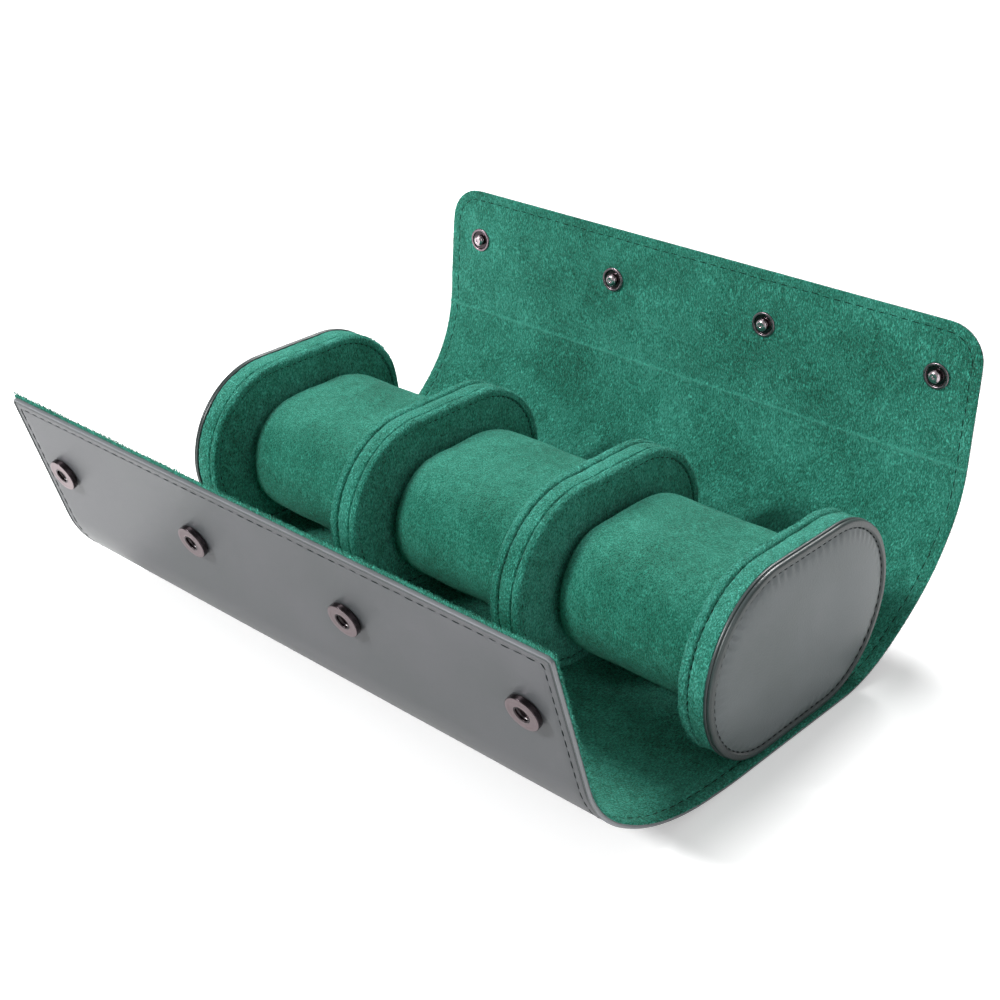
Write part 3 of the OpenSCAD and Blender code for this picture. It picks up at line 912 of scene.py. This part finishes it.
def on_outline(radius, walked):
    """The spot, the direction along and the direction outwards, some way round a wall's outline."""
    turn = math.pi * radius
    half = turn + tray_flat
    run, sign = walked % half, -1 if walked % (2 * half) < half else 1
    angle = run / radius
    outward = Vector((0, 0, sign))
    if run < turn:
        outward = sign * Vector((0, math.sin(angle), -math.cos(angle)))
    past = max(0.0, run - turn)
    spot = Vector((0, sign * (tray_flat / 2 - past), tray_mid.z)) + outward * radius
    return spot, Vector((1, 0, 0)).cross(outward), outward


def stitches_round(bm, x, radius, out_x, out_r, length, width):
    """A row of stitches round a wall, at a place along the case and a distance from its middle.

    out_x and out_r say which way the stitches face: along the case, and away from the middle."""
    whole = math.tau * radius + 2 * tray_flat
    total = round(whole / seam_pitch)
    for n in range(total):
        spot, along, outward = on_outline(radius, whole * n / total)
        out = (Vector((1, 0, 0)) * out_x + outward * out_r).normalized()
        long = length * dice.uniform(0.85, 1.1)
        add_stitch(bm, spot + Vector((x, 0, 0)), along, out, long, width, 1)


print("outline of a wall", round((2 * tray_flat + math.tau * tray_radius) / MM), "mm")


# %% [markdown]
# ## End walls
# An end wall shows suede inside and on its rim, and leather outside. The leather is drawn over the
# outer edge in a thin roll with a flat fold beside it, stitched down, and padded in the middle, so
# the face swells inside the stitches. Small puckers run in from each stitch, where the thread
# pulls the leather down. They are real dents in the mesh, made by moving the points near the row.

# %% Where a point lies on the outline of a wall
def outline_place(point):
    """(distance round the outline, distance from its middle line) of a point of a wall."""
    y, z = point.y, point.z - tray_mid.z
    beyond = max(abs(y) - tray_flat / 2, 0)
    radius = math.hypot(beyond, z)
    angle = math.atan2(beyond, abs(z)) if beyond else 0.0
    s = math.copysign(min(abs(y), tray_flat / 2) + angle * tray_radius, y)
    return (s if z > 0 else math.pi * tray_radius + 2 * tray_flat - s), radius


def soften(bm, depth, size, seed):
    """Moves each point a little along its normal, by smooth noise, as cloth over padding does."""
    bm.normal_update()
    for vert in bm.verts:
        vert.co += vert.normal * depth * noise.noise(vert.co / size + Vector((seed, 0, 0)))


def wall_piece(wall, key, bm, materials, slot, node, degrees=60):
    """A skin of a wall, made on the right and mirrored for the left. wall is such as end_left."""
    if wall.endswith("left"):
        bmesh.ops.scale(bm, vec=(-1, 1, 1), verts=bm.verts)
        bmesh.ops.reverse_faces(bm, faces=bm.faces)
    name, nodes = f"{wall}_{key}", [f"{wall}_{node}"]
    make_piece(name, bm, materials, slot, nodes, "tray", degrees)


def shifted(profile, x):
    """A profile in millimetres, moved to its place along the case."""
    return [(x + point[0] * MM, *(c * MM for c in point[1:])) for point in profile]


def closed(profile):
    made = rounded(profile)
    return made + made[:1]


def suede_band(profile, near, seeds):
    """The band of a wall, with a soft unevenness and a finer one."""
    band = round_wall(closed(shifted(profile, near)), step=band_step)
    for depth, size, seed in zip((0.25 * MM, 0.16 * MM), (7 * MM, 1.3 * MM), seeds):
        soften(band, depth, size, seed)
    return band


# Places from the wall's near side: the ridge of its seam, the valley beside it, the face's stitches
ridge_x, valley_x, valley_radius = 1.3 * MM, 3.35 * MM, 33.75 * MM
face_row_x, face_row_radius = 0.55 * MM, 31.45 * MM
pad_row_x, pad_row_radius = 12.15 * MM, 31.85 * MM
seam_stitch = 1.9 * MM, 0.4 * MM
# Profiles in millimetres: the place along the case from the wall's near side, then the radius
fold = [
    (1.5, 32.4), (1.5, 31.9), (-0.25, 31.9, 0.35), (-0.25, 35.0, 1.4), (2.85, 35.0, 1.2),
    (3.2, 33.3, 0.2)]
end_band = fold + [
    (3.9, 34.5, 0.7), (6.8, 34.85, 6.0), (9.75, 34.6, 0.5), (10.1, 33.4, 0.2), (10.1, 32.4)]
wall_face = [
    (1.4, 0.0), (1.4, 31.9), (0.75, 31.9), (0.5, 31.5, 0.25), (0.1, 30.3, 1.0), (0.0, 28.5),
    (0.0, 0.0)]
border = [
    (10.3, 31.3), (10.15, 33.4), (9.9, 35.0, 0.42), (11.0, 35.05, 0.42), (11.15, 34.1, 0.08),
    (11.3, 34.85, 0.35), (12.6, 34.7, 0.9), (12.7, 32.6, 0.45), (12.15, 31.95, 0.12), (11.7, 31.6)]
pad_rim, pad_x, pad_rings = 31.7, 12.0, 18
pad_lip, pad_crown = 0.55, 1.9
pad = [(11.0, 0.0), (11.0, pad_rim), (pad_x, 32.0)]
for i in range(1, pad_rings + 1):
    r = pad_rim * (1 - (i / pad_rings) ** 1.5)
    lip = pad_lip * (1 - math.exp((r - pad_rim) / 0.9))
    pad.append((pad_x + lip + pad_crown * (1 - (r / pad_rim) ** 3), r))
print("the padded face swells", round(pad[-1][0] - pad_x, 2), "mm")


def fringe(bm, x, out_x):
    """A row of tufts round a wall, where its seam stands up."""
    radius, pitch, length, width = 34.9 * MM, 0.45 * MM, 0.9 * MM, 0.4 * MM
    whole = math.tau * radius + 2 * tray_flat
    for n in range(round(whole / pitch)):
        spot, along, outward = on_outline(radius, (n + dice.uniform(-0.4, 0.4)) * pitch)
        side = dice.uniform(-1.0, 1.0)
        out = (outward + Vector((out_x + 0.5 * side, 0, 0))).normalized()
        add_tuft(bm, spot + Vector((x + side * 0.9 * MM, 0, 0)), out, length, width)


# %% Make the end walls
# The walls take the suede painted lighter for the light on their tops
sewn_suede = [lit_wall_suede, suede_thread]


def end_wall_pieces(wall):
    flip = wall == "end_left"
    bm = suede_band(end_band, end_inner, (1 + flip, 2 + flip))
    stitches_round(bm, end_inner + valley_x, valley_radius, 0, 1, *seam_stitch)
    fringe(bm, end_inner + ridge_x, -0.5)
    wall_piece(wall, "suede_band", bm, sewn_suede, "suede_wall", "gusset")
    bm = round_wall(rounded(shifted(wall_face, end_inner)))
    stitches_round(bm, end_inner + face_row_x, face_row_radius, -1, 0, 2.0 * MM, 0.5 * MM)
    wall_piece(wall, "suede_face", bm, sewn_suede, "suede_wall", "inner_face", 38)
    bm = round_wall(closed(shifted(border, end_inner)))
    soften(bm, 0.08 * MM, 9 * MM, 3 + flip)
    # The border takes the leather painted dark as shade, like the rolled edges of the wrap
    wall_piece(wall, "rolled_border", bm, [shaded_edge_leather], "leather", "bead", 50)
    bm = round_wall(shifted(pad, end_inner), step=pad_step)
    pucker_radius, pucker_reach, pucker_pitch = 30.3 * MM, 2.8 * MM, 4.3 * MM
    for vert in bm.verts:
        s, radius = outline_place(vert.co)
        if vert.co.x > end_inner + 11.9 * MM:
            near = max(0.0, 1 - abs(radius - pucker_radius) / pucker_reach)
            pull = 0.24 * MM * (1.2 + 1.6 * noise.noise(Vector((s / (19 * MM), flip, 5.3))))
            wander = 2.0 * noise.noise(Vector((s / (9 * MM), 0, 1)))
            vert.co.x -= pull * near * (0.5 + 0.5 * math.cos(math.tau * s / pucker_pitch + wander))
            slack = 0.9 * MM * noise.noise(Vector((flip, vert.co.y, vert.co.z)) / (24 * MM))
            vert.co.x += slack * max(0.0, 1 - radius / (31 * MM))
    stitches_round(bm, end_inner + pad_row_x, pad_row_radius, 1, 0, 2.2 * MM, 0.5 * MM)
    # The padded face is painted lighter than the wrap, for the sheen of light on it
    looks = [lit_face_leather, leather_thread]
    wall_piece(wall, "padded_face", bm, looks, "leather", "leather_face", 50)


for side in ("left", "right"):
    end_wall_pieces(f"end_{side}")
print("two end walls, each with a band, two faces and a border")

# %% [markdown]
# ## Dividers
# A divider is the same sandwich with suede on both sides: two folded seams with a band between
# them, and a face on each side. The same profiles serve, turned round for the far side.

# %% Make the dividers
divider_near = room_len / 2
far_side = divider_wall / MM
half_band = fold + [(3.9, 34.45, 0.6)]
divider_band = half_band + [(far_side / 2, 34.7, 4.0)]
divider_band += [(far_side - p[0], *p[1:]) for p in reversed(half_band)]
divider_far = [(far_side - p[0], *p[1:]) for p in wall_face]
for side in ("left", "right"):
    flip = side == "left"
    band = suede_band(divider_band, divider_near, (5 + flip, 8 + flip))
    for x, lean in ((ridge_x, -0.5), (divider_wall - ridge_x, 0.5)):
        fringe(band, divider_near + x, lean)
    for x in (valley_x, divider_wall - valley_x):
        stitches_round(band, divider_near + x, valley_radius, 0, 1, *seam_stitch)
    faces = round_wall(rounded(shifted(wall_face, divider_near)))
    row_x, far_x = divider_near + face_row_x, divider_near + divider_wall - face_row_x
    stitches_round(faces, row_x, face_row_radius, -1, 0, 2.1 * MM, 0.5 * MM)
    far_face = round_wall(rounded(shifted(divider_far, divider_near)))
    stitches_round(far_face, far_x, face_row_radius, 1, 0, 2.1 * MM, 0.5 * MM)
    absorb(faces, far_face)
    for key, bm, node in (("suede_band", band, "gusset"), ("suede_faces", faces, "faces")):
        wall_piece(f"divider_{side}", key, bm, sewn_suede, "suede_wall", node)
for node in frame["nodes"]:
    if node.startswith("board_") or node.endswith("_core"):
        recoat(node, bookboard)
print("dividers and their boards ready")

# %% [markdown]
# ## Pillows
# A pillow is a suede tube with flat ends, stuffed with foam. Cloth simulation makes the stuffed
# look: the closed shell is remeshed to even cells, blown up by a gentle pressure, and kept from
# growing past the space that the CAD pillow has between the walls. A last smoothing and a slow
# noise take away the even look that a computed cushion has.

# %% Make a pillow
pillow_low, pillow_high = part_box("pillow_middle_cover")
pillow_mid = (pillow_low + pillow_high) / 2
pillow_half = (pillow_high - pillow_low) / 2
pillow_flat = 2 * (pillow_half.y - pillow_half.z)
swell_cap, side_gap = 3.0 * MM, 0.05 * MM
shell_inset, shell_corner, shell_step, cell_size = 1.6 * MM, 6 * MM, 3 * MM, 2.6 * MM
pressure, cloth_steps = 4, 20


def stuffed(room, seed):
    """One pillow: a shell a little too small, stuffed until it fills its room."""
    half, radius = pillow_half.x - shell_inset, pillow_half.z - shell_inset
    ends = [(-half, 0.0), (-half, radius, shell_corner), (half, radius, shell_corner), (half, 0.0)]
    shell = round_wall(rounded(ends, 6), pillow_flat, pillow_mid, shell_step, radius)
    piece = placed("pillow", shell)
    bpy.context.view_layer.objects.active = piece
    piece.select_set(True)
    cells = piece.modifiers.new("even cells", "REMESH")
    cells.mode, cells.voxel_size = "VOXEL", cell_size
    bpy.ops.object.modifier_apply(modifier=cells.name)
    before = [v.co.copy() for v in piece.data.vertices]
    cloth = piece.modifiers.new("stuffing", "CLOTH")
    cloth.settings.use_pressure = True
    cloth.settings.uniform_pressure_force = pressure
    cloth.settings.effector_weights.gravity = 0
    cloth.settings.quality = 6
    for step in range(1, cloth_steps + 1):
        scene.frame_set(step)
    bpy.ops.object.modifier_apply(modifier="stuffing")
    scene.frame_set(1)
    bm = bmesh.new()
    bm.from_mesh(piece.data)
    for vert, start in zip(bm.verts, before):
        moved = vert.co - start
        if moved.length > swell_cap:
            vert.co = start + moved.normalized() * swell_cap
        most = pillow_half.x - side_gap
        vert.co.x = max(-most, min(most, vert.co.x))
        middle_y = max(-pillow_flat / 2, min(pillow_flat / 2, vert.co.y))
        centre = Vector((vert.co.x, middle_y, pillow_mid.z))
        arm = vert.co - centre
        if arm.length > pillow_half.z:
            vert.co = centre + arm.normalized() * pillow_half.z
    bmesh.ops.smooth_vert(
        bm, verts=bm.verts, factor=0.5, use_axis_x=True, use_axis_y=True, use_axis_z=True)
    soften(bm, 0.5 * MM, 14 * MM, seed)
    bmesh.ops.translate(bm, verts=bm.verts, vec=(room, 0, 0))
    bpy.data.objects.remove(piece)
    return bm


for n, (room, place) in enumerate((("left", -room_pitch), ("middle", 0.0), ("right", room_pitch))):
    nodes = [f"pillow_{room}_cover", f"pillow_{room}_filling"]
    name, bm = f"pillow_{room}", stuffed(place, 11 + n)
    pillow = make_piece(name, bm, [pillow_suede], "suede_pillow", nodes, name, 180)
    smoother = pillow.modifiers.new("finish", "SUBSURF")
    smoother.levels = smoother.render_levels = 1
print("pillows", [round(2 * c / MM, 1) for c in pillow_half], "mm")

# %% [markdown]
# ## Floor and light
# The case stands on a pale floor in an even white room. One lamp from the front left gives the
# leather its gloss and the suede its depth, a larger one from behind brightens the tops of the
# walls, and a wide faint one from the right lights the end face. The floor glows a little, for the
# camera alone, and more far away, so that it is white and still takes the shadow.

# %% Floor, room and lamps
room_glow, floor_glow = 0.30, 0.36
glow_from, glow_to = 0.5, 1.3
bm = bmesh.new()
bmesh.ops.create_grid(bm, x_segments=1, y_segments=1, size=6)
floor = placed("floor", bm)
floor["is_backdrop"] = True
paper = Recipe("pale floor", Roughness=0.8, Specular_IOR_Level=0.1)
seen = paper.node("LightPath", {}, {}, "Is Camera Ray")
paper.shader.inputs["Emission Strength"].default_value = 1.0
away = paper.node("VectorMath", {"operation": "LENGTH"}, {0: paper.place}, "Value")
glow = seen * (paper.spread(away, glow_from, glow_to) * (1 - floor_glow) + floor_glow)
tone = paper.blend_colour(paper.noise(0.05, 3.0), (0.85, 0.85, 0.85), (0.87, 0.87, 0.87))
floor.data.materials.append(paper.feed(Base_Color=tone, Emission_Color=glow))

world = bpy.data.worlds.new("white room")
scene.world = world
world.use_nodes = True
sky, links = world.node_tree.nodes["Background"], world.node_tree.links
path = world.node_tree.nodes.new("ShaderNodeLightPath")
level = world.node_tree.nodes.new("ShaderNodeMath")
level.operation = "MULTIPLY_ADD"
level.inputs[1].default_value, level.inputs[2].default_value = 1 - room_glow, room_glow
links.new(path.outputs["Is Camera Ray"], level.inputs[0])
links.new(level.outputs[0], sky.inputs["Strength"])
sky.inputs["Color"].default_value = (1, 1, 1, 1)


def lamp(name, place, target, size, watts):
    light = bpy.data.lights.new(name, "AREA")
    light.shape, light.size, light.energy = "DISK", size, watts
    shown = bpy.data.objects.new(name, light)
    scene.collection.objects.link(shown)
    aim = (Vector(target) - Vector(place)).to_track_quat("-Z", "Y")
    shown.matrix_world = Matrix.Translation(place) @ aim.to_matrix().to_4x4()


lamp("key lamp", (-0.85, -1.4, 1.05), (0, 0, 0.03), 0.35, 34)
lamp("back lamp", (-0.35, 1.0, 1.45), (0, 0, 0.03), 0.7, 36)
lamp("fill lamp", (1.5, -0.9, 0.7), (0, 0, 0.04), 1.2, 6)
scene.view_settings.view_transform = "Standard"

# %% [markdown]
# ## Finish
# The sizes of the two boxes are printed side by side, so that they can be compared. The soft
# pieces may stand only a little proud of the hard ones they stand for.

# %% Print the sizes
new_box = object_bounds()
for label, (low, high) in (("CAD", cad_box), ("visual", new_box)):
    print(label, [round(c / MM, 1) for c in high - low])
